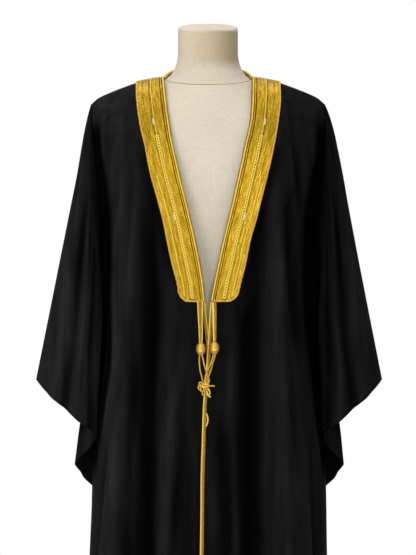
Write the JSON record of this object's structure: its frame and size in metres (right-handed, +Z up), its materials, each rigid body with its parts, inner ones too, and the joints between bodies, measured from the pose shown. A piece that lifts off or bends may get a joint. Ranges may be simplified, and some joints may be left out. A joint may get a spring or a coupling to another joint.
{
  "type": "bisht cloak on a limbless dress form with a stand",
  "caption": "Full-length open-fronted wool cloak with gold-thread bands and wide sleeves, hung on a limbless dress form with a neck, a pole and a round base.",
  "frame": {"origin": "centre of the stand base's underside, on the floor", "axes": "+Z up along the pole, -Y towards the viewer in front of the cloak, +X to the wearer's left"},
  "size_m": [0.7156, 0.36, 1.5592],
  "materials": {
    "black_wool": "fine matte woven wool",
    "zari_gold": "laid metallic thread embroidery",
    "gold_cord": "twisted and braided gold thread",
    "linen": "natural linen cover",
    "dark_metal": "satin black paint"
  },
  "bodies": {
    "root": {"front_right": "black_wool", "front_left": "black_wool", "back": "black_wool", "sleeve_right": "black_wool", "sleeve_left": "black_wool", "gold_band_right": "zari_gold", "gold_band_left": "zari_gold", "gold_band_back": "zari_gold", "tie_bead_right": "zari_gold", "tie_bead_left": "zari_gold", "edge_braid_right": "gold_cord", "edge_braid_left": "gold_cord", "shoulder_braid_right": "gold_cord", "shoulder_braid_left": "gold_cord", "tie_upper_right": "gold_cord", "tie_upper_left": "gold_cord", "tie_knot": "gold_cord", "tie_strand_right_1": "gold_cord", "tie_strand_right_2": "gold_cord", "tie_strand_left_1": "gold_cord", "tie_strand_left_2": "gold_cord", "tie_end_right": "gold_cord", "tie_end_left": "gold_cord", "tie_end_low": "gold_cord", "form_torso": "linen", "form_neck": "linen", "stand_pole": "dark_metal", "stand_base": "dark_metal"}
  },
  "joints": []
}
